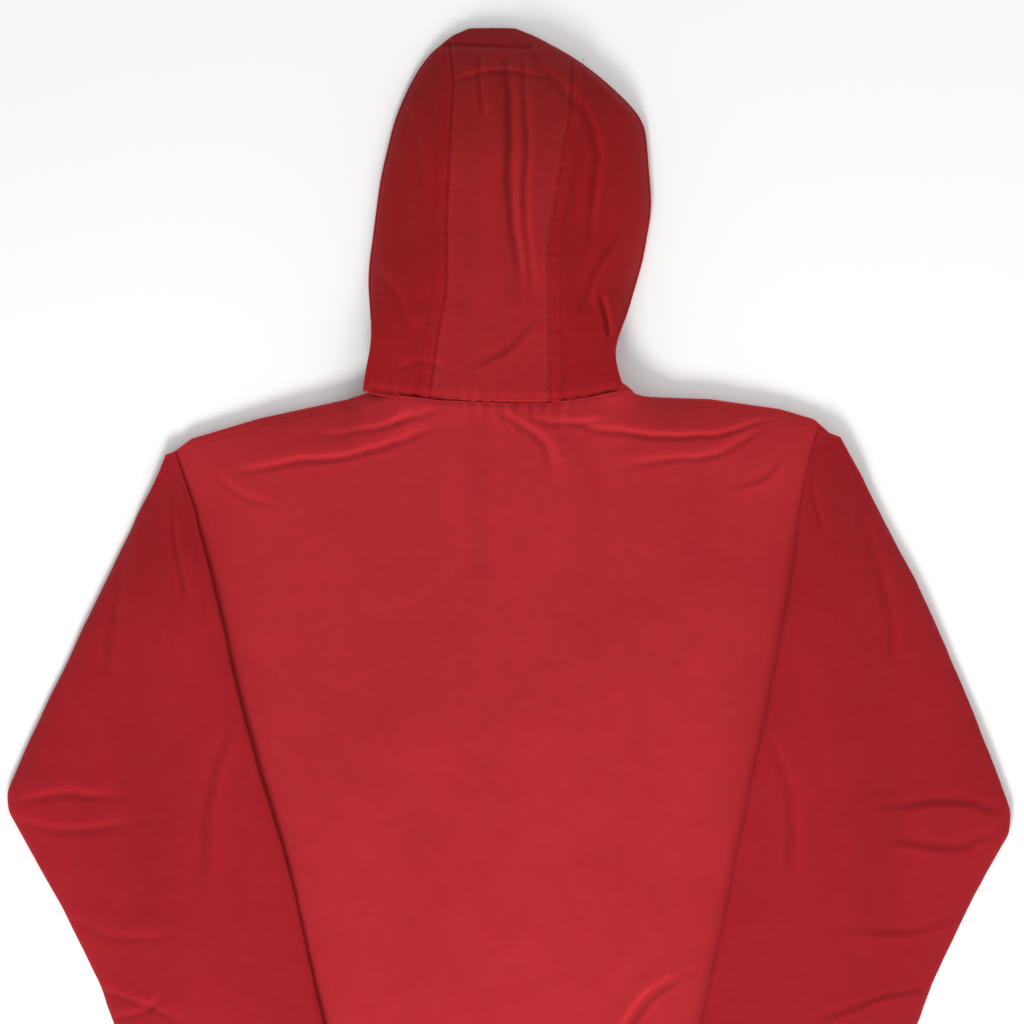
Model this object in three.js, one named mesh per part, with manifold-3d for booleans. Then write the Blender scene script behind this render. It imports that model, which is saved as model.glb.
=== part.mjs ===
// A foul weather jacket laid flat on its front: hood outward along +Y, hem along -Y, back facing up (+Z).
// Millimetres. The origin is the middle of the footprint, on the surface that the jacket lies on.
// Left and right are the wearer's: the wearer's left is -X.

import * as THREE from 'three';
import { mergeVertices } from 'three/addons/utils/BufferGeometryUtils.js';
import Module from 'manifold-3d';

const wasm = await Module();
wasm.setup();

// Overall sizes of the body, laid flat
const BODY_HALF_WIDTH = 300;
const NECK_Y = 229.5;
const BACK_LENGTH = 796;
const HEM_Y = NECK_Y - BACK_LENGTH;
const HEM_BAND = 38;
const PANEL_END_Y = HEM_Y + HEM_BAND;

// Heights of the body's loft above the side seams
const LOFT_AT_HEM = 27;
const LOFT_AT_CHEST = 38;
const LOFT_AT_NECK = 30;
const CHEST_Y = 0;

// Cloth and seam thicknesses, and clearances
const SHELL = 1.6;
const LINING = 1;
const BAND = 1.7;
const GAP = 0.3;
const SEAM = 0.4;
const SIDE_GAP = 2;
const HOOD_SEAM = 3;
const ELBOW_SEAM = 1.6;
const COLLAR_SEAM = 2.5;

// Levels on the front, which faces down
const FLAP = 1.8;
const FRONT_Z = 4.6;
const SIDE_RISE = 4.4;
const SIDE_SEAM_Z = FRONT_Z + SIDE_RISE + SHELL + SIDE_GAP;
const FRONT_EDGE_X = 10;
const FRONT_NECK_DROP = 62;
const FRONT_NECK_HALF = 112;

// Back neck and shoulder line: share of the half width, height above the neck seam
const SHOULDER_LINE = [
  [-1, -42], [-0.95, -31], [-0.75, -13], [-0.48, 4.5], [-0.42, 10.5], [-0.21, 2.5],
  [0, 0], [0.12, 0], [0.24, 5.5], [0.34, 12], [0.4, 6.5], [0.6, 4.5], [0.81, -4.5],
  [0.91, -13.5], [0.95, -26], [1, -42],
];
const SHOULDER_ROLL = 60;
const NECK_OPEN_X = 85;
const NECK_OPEN_FADE = 65;
const SIDE_RISE_WIDTH = 50;
const SHOULDER_RISE_DEPTH = 45;

// Hood
const HOOD_HEIGHT = 337;
const HOOD_HALF_WIDTH = 125;
const HOOD_FLANGE = 36;
// share of the hood's height, share of its half width
const HOOD_LEFT_EDGE = [
  [0, -1.02], [0.18, -0.96], [0.33, -1], [0.6, -0.91],
  [0.76, -0.81], [0.87, -0.68], [0.94, -0.56], [1, -0.29],
];
const HOOD_RIGHT_EDGE = [
  [0, 0.78], [0.12, 0.73], [0.23, 0.82], [0.39, 0.94], [0.52, 1],
  [0.76, 0.94], [0.87, 0.65], [0.94, 0.42], [1, 0.04],
];
const HOOD_LEFT_SEAM = [
  [0, -0.57], [0.11, -0.53], [0.21, -0.47], [0.3, -0.44], [0.5, -0.45], [0.85, -0.4], [1, -0.29],
];
const HOOD_RIGHT_SEAM = [
  [0, 0.29], [0.25, 0.27], [0.45, 0.28], [0.6, 0.35], [0.76, 0.42], [0.88, 0.4], [1, 0.04],
];
const HOOD_SIDE_TOP = 0.86;
const HOOD_LOFT = [[0, 42], [0.12, 47], [0.35, 62], [0.65, 60], [0.86, 40], [0.95, 20], [1, 6]];
const HOOD_EDGE_LEVEL = [[0, 38.5], [0.2, 38.5], [0.32, 12], [0.4, 9], [0.86, 9], [1, 6]];
const RIM_WIDTH = 18;
const RIM_THICKNESS = 3.6;

// Collar stand
const COLLAR_HEIGHT = 70;
const COLLAR_WALL = 2.5;
const COLLAR_TOP_HALF = 88;
const COLLAR_LEAN = -8;
const HANGER_HALF = 32;
const COLLAR_LOW_Z = 3.6;
const COLLAR_HIGH_Z = 36;

// Sleeves: points are [x, y] of the left and right sleeve as they lie
const SLEEVE_WALL = 2;
const SLEEVE_LOFT = 27;
const CUFF_LOFT = 22;
const CUFF_LENGTH = 34;
const CUFF_WALL = 3;
const SLEEVE_DROP = 34;
const SLEEVE_CLEAR = 0.27;
const SLEEVE_SPAN = 6;
const SLEEVES = {
  left: {
    sign: -1,
    outerTop: [-320, 160],
    innerTop: [-296, 162],
    innerBow: [-256, 44],
    outerElbow: [-452, -127],
    innerElbow: [-216, -118],
    outerWrist: [-322, -398],
    innerWrist: [-151, -398],
  },
  right: {
    sign: 1,
    outerTop: [315, 158],
    innerTop: [268, 164],
    innerBow: [250, 44],
    outerElbow: [452, -145],
    innerElbow: [210, -132],
    outerWrist: [331, -398],
    innerWrist: [157, -398],
  },
};

// Main zip
const TEETH_HALF_GAP = 0.6;
const TEETH_WIDTH = 2.5;
const TEETH_LOW = 5.6;
const TEETH_HIGH = 8.4;
const TAPE_LOW = 6.6;
const TAPE_THICKNESS = 0.8;
const TAPE_EDGE_X = 24;
const COLLAR_TOP_Y = NECK_Y + COLLAR_HEIGHT;
const ZIP_TOP_Y = COLLAR_TOP_Y - 4;
const ZIP_FOOT_Y = HEM_Y + 14;
const SLIDER_LENGTH = 15;
const SLIDER_HALF_WIDTH = 6.5;
const SLIDER_Y = ZIP_TOP_Y - 12;
const PULLER_LENGTH = 42;
const PULLER_AXIS_Z = 3.6;

// Storm flap and its snaps
const STORM_HINGE_X = -34.3;
const STORM_FREE_X = 30;
const STORM_BASE_WIDTH = 15;
const STORM_TOP_Y = NECK_Y - FRONT_NECK_DROP - 6;
const STORM_FOOT_Y = HEM_Y + 6;
const SNAP_RADIUS = 6;
const STUD_RADIUS = 4;
const CAP_HEIGHT = 3;
const STORM_SNAP_X = 20;
const STORM_SNAPS = 4;

// Hand pockets
const POCKET_INNER_X = 85;
const POCKET_WIDTH = 160;
const POCKET_DEPTH = 215;
const POCKET_TOP_Y = HEM_Y + 340;
const POCKET_BAG_HEIGHT = 7.2;
const POCKET_WALL = 1;
const POCKET_SLOT = 20;
const POCKET_SLOT_DROP = 6;
const POCKET_SLOT_INSET = 8;
const POCKET_FLAP_DEPTH = 62;
const POCKET_BASE = 12;

// Inner lining
const LINING_Z = 14.6;
const LINING_CLEAR = 5;
const LINING_INSET = 18;
const LINING_TOP_DROP = 40;

// Eyelets
const EYELET_OUTER = 4.2;
const EYELET_BORE = 2.2;
const HEM_EYELET_X = 150;

const RED = 0xbb2f33;
const DEEP_RED = 0xa42026;
const LINING_GREY = 0x2b2d31;
const BLACK = 0x151517;
const STEEL = 0xb9bcc0;

const group = new THREE.Group();
const clamp01 = (t) => Math.min(1, Math.max(0, t));
const smooth = (t) => clamp01(t) ** 2 * (3 - 2 * clamp01(t));
const mix = (a, b, t) => a + (b - a) * t;
const mixPoint = (a, b, t) => [mix(a[0], b[0], t), mix(a[1], b[1], t)];

// Value at t of a list of [position, value] pairs
function along(stations, t) {
  const last = stations.length - 1;
  if (t <= stations[0][0]) return stations[0][1];
  if (t >= stations[last][0]) return stations[last][1];
  const next = stations.findIndex(([at]) => at > t);
  const [from, low] = stations[next - 1];
  const [to, high] = stations[next];
  return mix(low, high, (t - from) / (to - from));
}

function add(name, geometry, color, roughness = 0.8, metalness = 0) {
  const material = new THREE.MeshStandardMaterial({ color, roughness, metalness });
  const mesh = new THREE.Mesh(geometry, material);
  mesh.name = name;
  group.add(mesh);
}

// Only positions, shared vertices, faces out
function closed(geometry) {
  geometry.deleteAttribute('normal');
  geometry.deleteAttribute('uv');
  const merged = mergeVertices(geometry, 1e-5);
  const p = merged.attributes.position;
  const faces = Array.from(merged.index.array);
  const kept = [];
  let volume = 0;
  const a = new THREE.Vector3();
  const b = new THREE.Vector3();
  const c = new THREE.Vector3();
  for (let i = 0; i < faces.length; i += 3) {
    const [i0, i1, i2] = faces.slice(i, i + 3);
    if (i0 === i1 || i1 === i2 || i2 === i0) continue;
    a.fromBufferAttribute(p, i0);
    b.fromBufferAttribute(p, i1);
    c.fromBufferAttribute(p, i2);
    volume += a.dot(b.cross(c));
    kept.push([i0, i1, i2]);
  }
  merged.setIndex(kept.flatMap(([i0, i1, i2]) => (volume > 0 ? [i0, i1, i2] : [i0, i2, i1])));
  return merged;
}

function toSolid(geometry) {
  const g = closed(geometry);
  return new wasm.Manifold(new wasm.Mesh({
    numProp: 3,
    vertProperties: new Float32Array(g.attributes.position.array),
    triVerts: new Uint32Array(g.index.array),
  }));
}

function toGeometry(solid) {
  const mesh = solid.getMesh();
  const geometry = new THREE.BufferGeometry();
  geometry.setAttribute('position', new THREE.BufferAttribute(mesh.vertProperties, 3));
  geometry.setIndex(new THREE.BufferAttribute(mesh.triVerts, 1));
  return geometry;
}

function join(...geometries) {
  return toGeometry(geometries.map(toSolid).reduce((whole, piece) => whole.add(piece)));
}

function cut(geometry, ...tools) {
  return toGeometry(tools.map(toSolid).reduce((whole, tool) => whole.subtract(tool), toSolid(geometry)));
}

// A box between two corners
function block(x0, x1, y0, y1, z0, z1) {
  const geometry = new THREE.BoxGeometry(Math.abs(x1 - x0), Math.abs(y1 - y0), Math.abs(z1 - z0));
  geometry.translate((x0 + x1) / 2, (y0 + y1) / 2, (z0 + z1) / 2);
  return closed(geometry);
}

// An upright disc
function disc(x, y, z0, z1, radius, sides = 16) {
  const geometry = new THREE.CylinderGeometry(radius, radius, z1 - z0, sides);
  geometry.rotateX(Math.PI / 2);
  geometry.translate(x, y, (z0 + z1) / 2);
  return closed(geometry);
}

// The surface point and its unit normal, from a function of (u, v); a tube's u wraps around
function pointAndNormal(surface, u, v, wraps = false) {
  const step = 1e-3;
  const at = surface(u, v);
  const [u0, u1] = wraps ? [u - step, u + step] : [Math.max(0, u - step), Math.min(1, u + step)];
  const du = surface(u1, v).sub(surface(u0, v));
  const dv = surface(u, Math.min(1, v + step)).sub(surface(u, Math.max(0, v - step)));
  return [at, du.cross(dv).normalize()];
}

// Cloth of even thickness over a surface: from the offset "near" to the offset "far" along its normal
function cloth(acrossCount, alongCount, surface, near, far) {
  const geometry = new THREE.BoxGeometry(1, 1, 1, acrossCount, alongCount, 1);
  const p = geometry.attributes.position;
  for (let i = 0; i < p.count; i += 1) {
    const u = p.getX(i) + 0.5;
    const v = p.getY(i) + 0.5;
    const [at, normal] = pointAndNormal(surface, u, v);
    at.addScaledVector(normal, p.getZ(i) > 0 ? far : near);
    p.setXYZ(i, at.x, at.y, at.z);
  }
  return closed(geometry);
}

// A cloth tube: the surface's first argument goes once around, the second along
function clothTube(aroundCount, alongCount, surface, wall) {
  const profile = [];
  for (let i = 0; i <= alongCount; i += 1) profile.push(new THREE.Vector2(2, i / alongCount));
  for (let i = alongCount; i >= 0; i -= 1) profile.push(new THREE.Vector2(1, i / alongCount));
  profile.push(profile[0].clone());
  const geometry = new THREE.LatheGeometry(profile, aroundCount);
  geometry.deleteAttribute('normal');
  geometry.deleteAttribute('uv');
  const merged = mergeVertices(geometry, 1e-5);
  const p = merged.attributes.position;
  for (let i = 0; i < p.count; i += 1) {
    const around = Math.atan2(p.getX(i), p.getZ(i)) / (2 * Math.PI);
    const [at, normal] = pointAndNormal(surface, around, p.getY(i), true);
    const outer = Math.hypot(p.getX(i), p.getZ(i)) > 1.5;
    at.addScaledVector(normal, outer ? 0 : -wall);
    p.setXYZ(i, at.x, at.y, at.z);
  }
  return closed(merged);
}

// ---- Body ----

const shoulderY = (x) => NECK_Y + along(SHOULDER_LINE, x / BODY_HALF_WIDTH);

function bodyLoft(y) {
  if (y < CHEST_Y) return mix(LOFT_AT_HEM, LOFT_AT_CHEST, smooth((y - HEM_Y) / (CHEST_Y - HEM_Y)));
  return mix(LOFT_AT_CHEST, LOFT_AT_NECK, smooth((y - CHEST_Y) / (NECK_Y - CHEST_Y)));
}

// How far the cloth has risen from the shoulder seam; the neck stays open
function shoulderRoll(x, y) {
  const inside = clamp01((shoulderY(x) - y) / SHOULDER_ROLL);
  const rolled = (1 - (1 - inside) ** 2) ** 0.6;
  const neck = 1 - smooth((Math.abs(x) - NECK_OPEN_X) / NECK_OPEN_FADE);
  return mix(rolled, 1, neck);
}

// Outer face of the back
function backZ(x, y) {
  const share = Math.min(1, Math.abs(x) / BODY_HALF_WIDTH);
  return SIDE_SEAM_Z + bodyLoft(y) * (1 - share * share) ** 0.7 * shoulderRoll(x, y);
}

// Outer face of the front, which faces down
function frontZ(x, y) {
  const side = smooth((Math.abs(x) - BODY_HALF_WIDTH + SIDE_RISE_WIDTH) / SIDE_RISE_WIDTH);
  const besideNeck = smooth((Math.abs(x) - FRONT_NECK_HALF + 15) / 30);
  const shoulder = smooth(1 - (shoulderY(x) - y) / SHOULDER_RISE_DEPTH) * besideNeck;
  return FRONT_Z + SIDE_RISE * Math.max(side, shoulder);
}

function frontNeckY(x) {
  const inside = clamp01(1 - (x / FRONT_NECK_HALF) ** 2);
  return shoulderY(x) - FRONT_NECK_DROP * Math.sqrt(inside);
}

function backPanel() {
  const surface = (u, v) => {
    const x = BODY_HALF_WIDTH * Math.sin((u - 0.5) * Math.PI);
    const y = mix(PANEL_END_Y, shoulderY(x), 1 - (1 - v) ** 1.7);
    return new THREE.Vector3(x, y, backZ(x, y));
  };
  add('back_panel', cloth(18, 12, surface, 0, -SHELL), RED);
}

function frontPanel(side, sign) {
  const surface = (u, v) => {
    const x = sign * mix(FRONT_EDGE_X, BODY_HALF_WIDTH, u);
    const y = mix(PANEL_END_Y, frontNeckY(x), 1 - (1 - v) ** 1.5);
    return new THREE.Vector3(x, y, frontZ(x, y));
  };
  const panel = cloth(14, 7, surface, 0, sign * SHELL);
  const slotNear = sign * (POCKET_INNER_X + POCKET_SLOT_INSET);
  const slotFar = sign * (POCKET_INNER_X + POCKET_WIDTH - POCKET_SLOT_INSET);
  const slotTop = POCKET_TOP_Y - POCKET_SLOT_DROP;
  const slot = block(slotNear, slotFar, slotTop - POCKET_SLOT, slotTop, 0, POCKET_BAG_HEIGHT);
  add(`front_panel_${side}`, cut(panel, slot), RED);
}

const liningZ = (x, y) => backZ(x, y) - LINING_CLEAR;

function backLining() {
  const half = BODY_HALF_WIDTH - LINING_INSET;
  const surface = (u, v) => {
    const x = half * Math.sin((u - 0.5) * Math.PI);
    const y = mix(PANEL_END_Y + 4, shoulderY(x) - LINING_TOP_DROP, v);
    return new THREE.Vector3(x, y, liningZ(x, y));
  };
  add('lining_back', cloth(14, 7, surface, 0, -LINING), LINING_GREY, 0.7);
}

// Low beside the zip, over the pocket, and up to the back lining at the side
function frontLining(side, sign) {
  const half = BODY_HALF_WIDTH - LINING_INSET;
  const surface = (u, v) => {
    const x = sign * mix(TAPE_EDGE_X + 2, half, u);
    const y = mix(PANEL_END_Y + 4, frontNeckY(x) - LINING_TOP_DROP, v);
    const inner = smooth((Math.abs(x) - TAPE_EDGE_X - 2) / 50);
    const outer = smooth((Math.abs(x) - POCKET_INNER_X - POCKET_WIDTH - 2) / 34);
    const top = smooth((frontNeckY(x) - y) / 70);
    const level = mix(TAPE_LOW + 0.9, LINING_Z, inner * mix(0.35, 1, top));
    return new THREE.Vector3(x, y, mix(level, liningZ(sign * half, y) - 2 * LINING - SEAM, outer));
  };
  add(`lining_front_${side}`, cloth(9, 6, surface, 0, sign * LINING), LINING_GREY, 0.7);
}

// The casing around the hem, open at the zip: once around the body's outer faces
function hemBand() {
  const turn = 0.2;
  const surface = (u, v) => {
    const y = mix(HEM_Y, PANEL_END_Y - SEAM, v);
    if (u < turn) {
      const x = -mix(FRONT_EDGE_X, BODY_HALF_WIDTH, Math.sin((u / turn) * (Math.PI / 2)));
      return new THREE.Vector3(x, y, frontZ(x, y));
    }
    if (u > 1 - turn) {
      const x = mix(FRONT_EDGE_X, BODY_HALF_WIDTH, Math.sin(((1 - u) / turn) * (Math.PI / 2)));
      return new THREE.Vector3(x, y, frontZ(x, y));
    }
    const x = BODY_HALF_WIDTH * Math.sin(((u - 0.5) / (0.5 - turn)) * (Math.PI / 2));
    return new THREE.Vector3(x, y, backZ(x, y));
  };
  const holes = [-1, 1].map((s) => disc(s * HEM_EYELET_X, HEM_Y + HEM_BAND / 2, 0, 12, EYELET_OUTER + GAP));
  add('hem_band', cut(cloth(30, 1, surface, 0, -BAND), ...holes), RED);
}

function eyelet(name, x, y, low, high) {
  const profile = [
    [EYELET_BORE, low], [EYELET_OUTER, low], [EYELET_OUTER, high], [EYELET_BORE, high], [EYELET_BORE, low],
  ].map(([r, h]) => new THREE.Vector2(r, h));
  const geometry = new THREE.LatheGeometry(profile, 12);
  geometry.rotateX(Math.PI / 2);
  geometry.translate(x, y, 0);
  add(name, closed(geometry), STEEL, 0.35, 0.9);
}

function collar() {
  const reach = 0.97;
  const middle = (COLLAR_LOW_Z + COLLAR_HIGH_Z) / 2;
  const half = (COLLAR_HIGH_Z - COLLAR_LOW_Z) / 2;
  const surface = (u, v) => {
    const turn = (u - 0.5) * 2 * Math.PI * reach;
    const sine = Math.sin(turn);
    const cosine = Math.cos(turn);
    const wide = mix(FRONT_NECK_HALF, COLLAR_TOP_HALF, smooth(v * 2.5));
    const across = Math.sign(sine) * Math.abs(sine) ** 0.8;
    const x = COLLAR_LEAN * v * (1 + cosine) / 2 + wide * across;
    const foot = cosine > 0 ? shoulderY(FRONT_NECK_HALF * across) : frontNeckY(FRONT_NECK_HALF * across);
    const y = mix(foot + COLLAR_SEAM, COLLAR_TOP_Y, v);
    const z = middle + half * Math.sign(cosine) * Math.abs(cosine) ** 0.6;
    return new THREE.Vector3(x, y, z);
  };
  add('collar_stand', cloth(24, 3, surface, 0, -COLLAR_WALL), RED);
}

function hangerLoop() {
  const y = NECK_Y - LINING_TOP_DROP - 10;
  const under = liningZ(HANGER_HALF, y) - LINING;
  add('hanger_loop', block(-HANGER_HALF, HANGER_HALF, y - 5, y + 4, under - 2, under - 0.8), BLACK);
}

// ---- Zip, storm flap and pockets ----

function zip() {
  for (const [side, sign] of [['left', -1], ['right', 1]]) {
    const inner = sign * TEETH_HALF_GAP;
    const teethEdge = TEETH_HALF_GAP + TEETH_WIDTH;
    const tape = [sign * (teethEdge + GAP), sign * TAPE_EDGE_X];
    const tapeTop = TAPE_LOW + TAPE_THICKNESS;
    add(`zip_tape_${side}`, block(...tape, ZIP_FOOT_Y, ZIP_TOP_Y, TAPE_LOW, tapeTop), BLACK);
    const teeth = block(inner, sign * teethEdge, ZIP_FOOT_Y, ZIP_TOP_Y, TEETH_LOW, TEETH_HIGH);
    add(`zip_teeth_${side}`, teeth, BLACK, 0.45);
    const stopWidth = sign * (teethEdge + 1);
    const stop = block(inner, stopWidth, ZIP_TOP_Y + GAP, ZIP_TOP_Y + 3, TEETH_LOW, TEETH_HIGH);
    add(`zip_stop_${side}`, stop, STEEL, 0.35, 0.9);
  }
  add('zip_box', block(-6, 6, HEM_Y + 2, ZIP_FOOT_Y - GAP, FRONT_Z, TEETH_HIGH + 0.6), BLACK, 0.45);
}

// Two plates joined by a thin wedge between the rows of teeth, with an arch for the puller's bar
function zipSlider() {
  const y0 = SLIDER_Y - SLIDER_LENGTH / 2;
  const y1 = SLIDER_Y + SLIDER_LENGTH / 2;
  const low = TEETH_LOW - GAP - 1;
  const high = TEETH_HIGH + GAP;
  const wide = SLIDER_HALF_WIDTH;
  const lip = TEETH_HALF_GAP + TEETH_WIDTH + 2 * GAP;
  const barRoof = PULLER_AXIS_Z - 0.7;
  const body = join(
    block(-wide, wide, y0, y1, low, low + 1),
    block(-wide, wide, y0, y1, high, high + 1),
    block(-TEETH_HALF_GAP / 2, TEETH_HALF_GAP / 2, y1 - 8, y1, low + 0.5, high + 0.5),
    block(-wide, -lip - 1, y0, y1, low + 0.5, TAPE_LOW - GAP),
    block(lip + 1, wide, y0, y1, low + 0.5, TAPE_LOW - GAP),
    block(-1, 1, SLIDER_Y - 3.6, SLIDER_Y - 2.2, barRoof - 0.6, low + 0.5),
    block(-1, 1, SLIDER_Y + 2.2, SLIDER_Y + 3.6, barRoof - 0.6, low + 0.5),
    block(-1, 1, SLIDER_Y - 3, SLIDER_Y + 3, barRoof - 0.6, barRoof - 0.1),
  );
  add('zip_slider', body, STEEL, 0.35, 0.9);
}

function zipPuller() {
  const bar = new THREE.CylinderGeometry(0.45, 0.45, 6, 8);
  bar.rotateZ(Math.PI / 2);
  bar.translate(0, SLIDER_Y, PULLER_AXIS_Z);
  const low = PULLER_AXIS_Z - 0.45;
  const high = PULLER_AXIS_Z + 0.45;
  const neckY = SLIDER_Y - 6;
  const body = join(
    bar,
    block(-3, -1.5, neckY - 1, SLIDER_Y + 0.3, low, high),
    block(1.5, 3, neckY - 1, SLIDER_Y + 0.3, low, high),
    block(-4, 4, SLIDER_Y - PULLER_LENGTH, neckY, low, high),
  );
  add('zip_puller', body, STEEL, 0.35, 0.9);
}

function snap(name, x, y) {
  add(`${name}_cap`, disc(x, y, 0, CAP_HEIGHT, SNAP_RADIUS), STEEL, 0.35, 0.9);
  add(`${name}_stud`, disc(x, y, CAP_HEIGHT + GAP, FRONT_Z - GAP, STUD_RADIUS, 12), STEEL, 0.35, 0.9);
}

const stormSnapY = (i) => mix(STORM_FOOT_Y + 60, STORM_TOP_Y - 30, i / (STORM_SNAPS - 1));

function stormFlap() {
  const spots = Array.from({ length: STORM_SNAPS }, (_, i) => stormSnapY(i));
  const holes = spots.map((y) => disc(STORM_SNAP_X, y, -1, FLAP + 1, SNAP_RADIUS + GAP));
  const flap = block(STORM_HINGE_X + GAP, STORM_FREE_X, STORM_FOOT_Y, STORM_TOP_Y, 0, FLAP);
  add('storm_flap', cut(flap, ...holes), RED);
  const baseX = STORM_HINGE_X - GAP;
  const base = block(baseX - STORM_BASE_WIDTH, baseX, STORM_FOOT_Y, STORM_TOP_Y, 0, FRONT_Z - GAP);
  add('storm_flap_base', base, RED);
  spots.forEach((y, i) => snap(`storm_snap_${i + 1}`, STORM_SNAP_X, y));
}

function pocket(side, sign) {
  const near = sign * POCKET_INNER_X;
  const far = sign * (POCKET_INNER_X + POCKET_WIDTH);
  const low = FRONT_Z + SHELL + SEAM;
  const high = low + POCKET_BAG_HEIGHT;
  const bottom = POCKET_TOP_Y - POCKET_DEPTH;
  const wall = POCKET_WALL;
  const inset = sign * wall;
  const slotInset = sign * POCKET_SLOT_INSET;
  const slotTop = POCKET_TOP_Y - POCKET_SLOT_DROP;
  const bag = cut(
    block(near, far, bottom, POCKET_TOP_Y, low, high),
    block(near + inset, far - inset, bottom + wall, POCKET_TOP_Y - wall, low + wall, high - wall),
    block(near + slotInset, far - slotInset, slotTop - POCKET_SLOT, slotTop, low - 1, low + 2 * wall),
  );
  add(`pocket_bag_${side}`, bag, LINING_GREY, 0.7);

  const hingeY = POCKET_TOP_Y + 6;
  const snapX = (near + far) / 2;
  const snapY = hingeY - POCKET_FLAP_DEPTH + 14;
  const flap = cut(
    block(near, far, hingeY - POCKET_FLAP_DEPTH, hingeY - GAP, 0, FLAP),
    disc(snapX, snapY, -1, FLAP + 1, SNAP_RADIUS + GAP),
  );
  add(`pocket_flap_${side}`, flap, RED);
  const base = block(near, far, hingeY + GAP, hingeY + POCKET_BASE, 0, FRONT_Z - GAP);
  add(`pocket_flap_base_${side}`, base, RED);
  snap(`pocket_snap_${side}`, snapX, snapY);
}

// ---- Sleeves ----

// Top of whatever lies under a sleeve: the back near the body, then down to the ground outside it
function coverZ(x, y) {
  const beyond = Math.abs(x) - BODY_HALF_WIDTH;
  if (beyond <= 0) return backZ(x, y) + SLEEVE_CLEAR;
  return (SIDE_SEAM_Z + SLEEVE_CLEAR) * (1 - smooth(beyond / SLEEVE_DROP));
}

const groundZ = (x, y) => Math.max(coverZ(x, y), coverZ(x - SLEEVE_SPAN, y), coverZ(x + SLEEVE_SPAN, y));

// A point around a flattened sleeve: outer and inner are its fold edges here, loft its height
function sleevePoint(sign, outer, inner, loft, around) {
  const angle = around * 2 * Math.PI * sign;
  const sine = Math.sin(angle);
  const cosine = Math.cos(angle);
  const across = Math.sign(cosine) * Math.abs(cosine) ** 0.75;
  const up = Math.sign(sine) * Math.sqrt(Math.abs(sine));
  const [x, y] = mixPoint(inner, outer, (across + 1) / 2);
  const height = loft * mix(0.45, 1, Math.sqrt(Math.max(0, 1 - across * across)));
  return new THREE.Vector3(x, y, groundZ(x, y) + (height * (1 + up)) / 2);
}

function upperSurface(sleeve) {
  return (around, v) => {
    const outer = mixPoint(sleeve.outerTop, sleeve.outerElbow, v);
    const first = mixPoint(sleeve.innerTop, sleeve.innerBow, v);
    const second = mixPoint(sleeve.innerBow, sleeve.innerElbow, v);
    const inner = mixPoint(first, second, v);
    return sleevePoint(sleeve.sign, outer, inner, mix(12, SLEEVE_LOFT, smooth(v * 1.6)), around);
  };
}

function lowerSurface(sleeve) {
  const drop = [0, -ELBOW_SEAM];
  const start = (p) => [p[0] + drop[0], p[1] + drop[1]];
  return (around, v) => {
    const outer = mixPoint(start(sleeve.outerElbow), sleeve.outerWrist, v);
    const inner = mixPoint(start(sleeve.innerElbow), sleeve.innerWrist, v);
    return sleevePoint(sleeve.sign, outer, inner, mix(SLEEVE_LOFT, CUFF_LOFT, v), around);
  };
}

function cuffSurface(sleeve) {
  const taper = 7;
  return (around, v) => {
    const y = sleeve.outerWrist[1] - 2 * GAP - (CUFF_LENGTH - 2 * GAP) * v;
    const narrowing = taper * v * sleeve.sign;
    const outer = [sleeve.outerWrist[0] - narrowing, y];
    const inner = [sleeve.innerWrist[0] - narrowing * 0.4, y];
    return sleevePoint(sleeve.sign, outer, inner, CUFF_LOFT, around);
  };
}

function sleeves(side, sleeve) {
  add(`sleeve_upper_${side}`, clothTube(24, 7, upperSurface(sleeve), SLEEVE_WALL), DEEP_RED);
  add(`sleeve_lower_${side}`, clothTube(24, 5, lowerSurface(sleeve), SLEEVE_WALL), DEEP_RED);
  add(`cuff_${side}`, clothTube(24, 1, cuffSurface(sleeve), CUFF_WALL), DEEP_RED);
}

// The adjusting tab over the cuff's upper face, with its hook patch, and the loop patch on the cuff
function cuffTab(side, sleeve) {
  const { sign } = sleeve;
  const onCuff = cuffSurface(sleeve);
  const strip = (from, to, v0, v1) => (u, v) => onCuff(sign * mix(from, to, u), mix(v0, v1, v));
  const patch = strip(0.23, 0.32, 0.2, 0.8);
  const tab = strip(0.17, 0.33, 0.15, 0.85);
  const patchHeight = 0.8;
  const raised = (u, v) => {
    const [at, normal] = pointAndNormal(tab, u, v);
    return at.addScaledVector(normal, sign * mix(SEAM, 4 * GAP + 2 * patchHeight, smooth(u / 0.3)));
  };
  const hookBase = 2 * GAP + patchHeight;
  add(`cuff_loop_${side}`, cloth(5, 1, patch, sign * GAP, sign * (GAP + patchHeight)), BLACK, 0.95);
  add(`cuff_hook_${side}`, cloth(5, 1, patch, sign * hookBase, sign * (hookBase + patchHeight)), BLACK, 0.95);
  add(`cuff_tab_${side}`, cloth(8, 1, raised, 0, sign * SHELL), DEEP_RED);
}

// ---- Hood ----

const hoodY = (share) => NECK_Y + HOOD_HEIGHT * share;
const hoodFoot = (x) => (shoulderY(x) + HOOD_SEAM - NECK_Y) / HOOD_HEIGHT;

function hoodZ(x, share) {
  const left = along(HOOD_LEFT_EDGE, share) * HOOD_HALF_WIDTH;
  const right = along(HOOD_RIGHT_EDGE, share) * HOOD_HALF_WIDTH;
  const across = Math.min(1, Math.abs((2 * x - left - right) / (right - left)));
  const edge = along(HOOD_EDGE_LEVEL, share);
  return edge + (along(HOOD_LOFT, share) - edge) * (1 - across * across) ** 0.7;
}

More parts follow.
